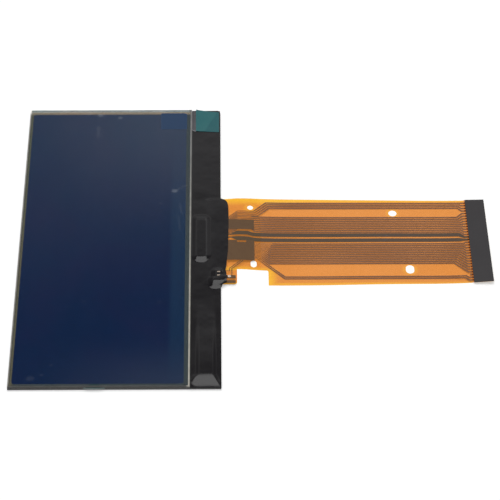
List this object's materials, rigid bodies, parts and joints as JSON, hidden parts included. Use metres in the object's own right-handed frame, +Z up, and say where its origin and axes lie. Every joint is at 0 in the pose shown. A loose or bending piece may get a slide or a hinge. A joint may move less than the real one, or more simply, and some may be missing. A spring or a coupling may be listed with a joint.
{
  "type": "liquid crystal display panel",
  "caption": "Flat glass display panel with a dark blue screen, a black taped ledge that carries its driver chip, and an amber flexible tail that ends in a stiffened row of contacts.",
  "frame": {"origin": "centre of the rear polariser's rear face, under the middle of the front glass", "axes": "+X along the tail from the panel to its contacts, +Y along the panel's long side to the end with the lift tab, +Z up out of the screen"},
  "size_m": [0.1241, 0.103, 0.0018],
  "materials": {
    "glass": "clear polished sheet",
    "edge_seal": "cured epoxy with spacers",
    "port_resin": "cured clear resin",
    "liquid_crystal": "dark blue when off",
    "front_polariser": "dark tinted film",
    "rear_polariser": "dark tinted film",
    "protective_film": "thin clear film",
    "silicon": "ground dark silicon",
    "bond_film": "filled adhesive",
    "polyimide": "glossy amber film",
    "copper": "etched foil under film",
    "contact_plating": "thin gold plating",
    "tin": "bright tin",
    "capacitor_ceramic": "fired ceramic",
    "adhesive": "cured adhesive sheet",
    "stiffener": "matt black laminate",
    "black_tape": "satin black film tape",
    "clear_tape": "clear film tape",
    "green_film": "dark green translucent film"
  },
  "bodies": {
    "root": {"rear_glass": "glass", "front_glass": "glass", "liquid_crystal_layer": "liquid_crystal", "perimeter_seal": "edge_seal", "end_seal_plug": "port_resin", "rear_polariser": "rear_polariser", "front_polariser": "front_polariser", "protective_film": "protective_film", "driver_chip": "silicon", "chip_bond_film": "bond_film", "tail_bond_film": "bond_film", "tail_base_film": "polyimide", "tail_coverlay": "polyimide", "far_conductors": "copper", "upper_conductors": "copper", "supply_bands": "copper", "lower_conductors": "copper", "near_conductors": "copper", "blank_contact": "copper", "contact_plating": "contact_plating", "root_shield_copper": "copper", "tab_copper": "copper", "root_coverlay": "polyimide", "via_ring": "tin", "capacitor_bodies": "capacitor_ceramic", "capacitor_terminals": "tin", "capacitor_solder": "tin", "stiffener_adhesive": "adhesive", "contact_stiffener": "stiffener", "ledge_tape": "black_tape", "lift_tab_patch": "adhesive", "lift_tab_clear_tape": "clear_tape", "lift_tab_green_film": "green_film"}
  },
  "joints": []
}
